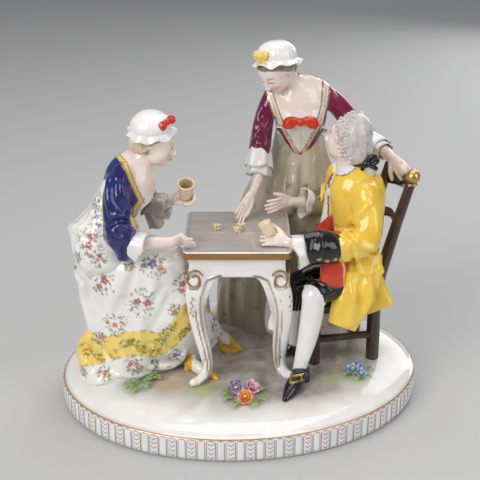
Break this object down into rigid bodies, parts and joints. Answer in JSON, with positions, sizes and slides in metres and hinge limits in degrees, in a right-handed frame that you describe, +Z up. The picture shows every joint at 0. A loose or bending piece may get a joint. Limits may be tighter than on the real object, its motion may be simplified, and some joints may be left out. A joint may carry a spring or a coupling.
{
  "type": "porcelain figure group",
  "caption": "Glazed porcelain group on an oval plinth: a seated lady, a standing lady and a seated gentleman play dice round a small table.",
  "frame": {"origin": "middle of the plinth's flat underside", "axes": "+Z up, +Y from the front of the group to its back, +X to the right of someone facing its front"},
  "size_m": [0.229, 0.19, 0.2212],
  "materials": {
    "porcelain": "gloss"
  },
  "bodies": {
    "root": {"figure_group": "porcelain"}
  },
  "joints": []
}
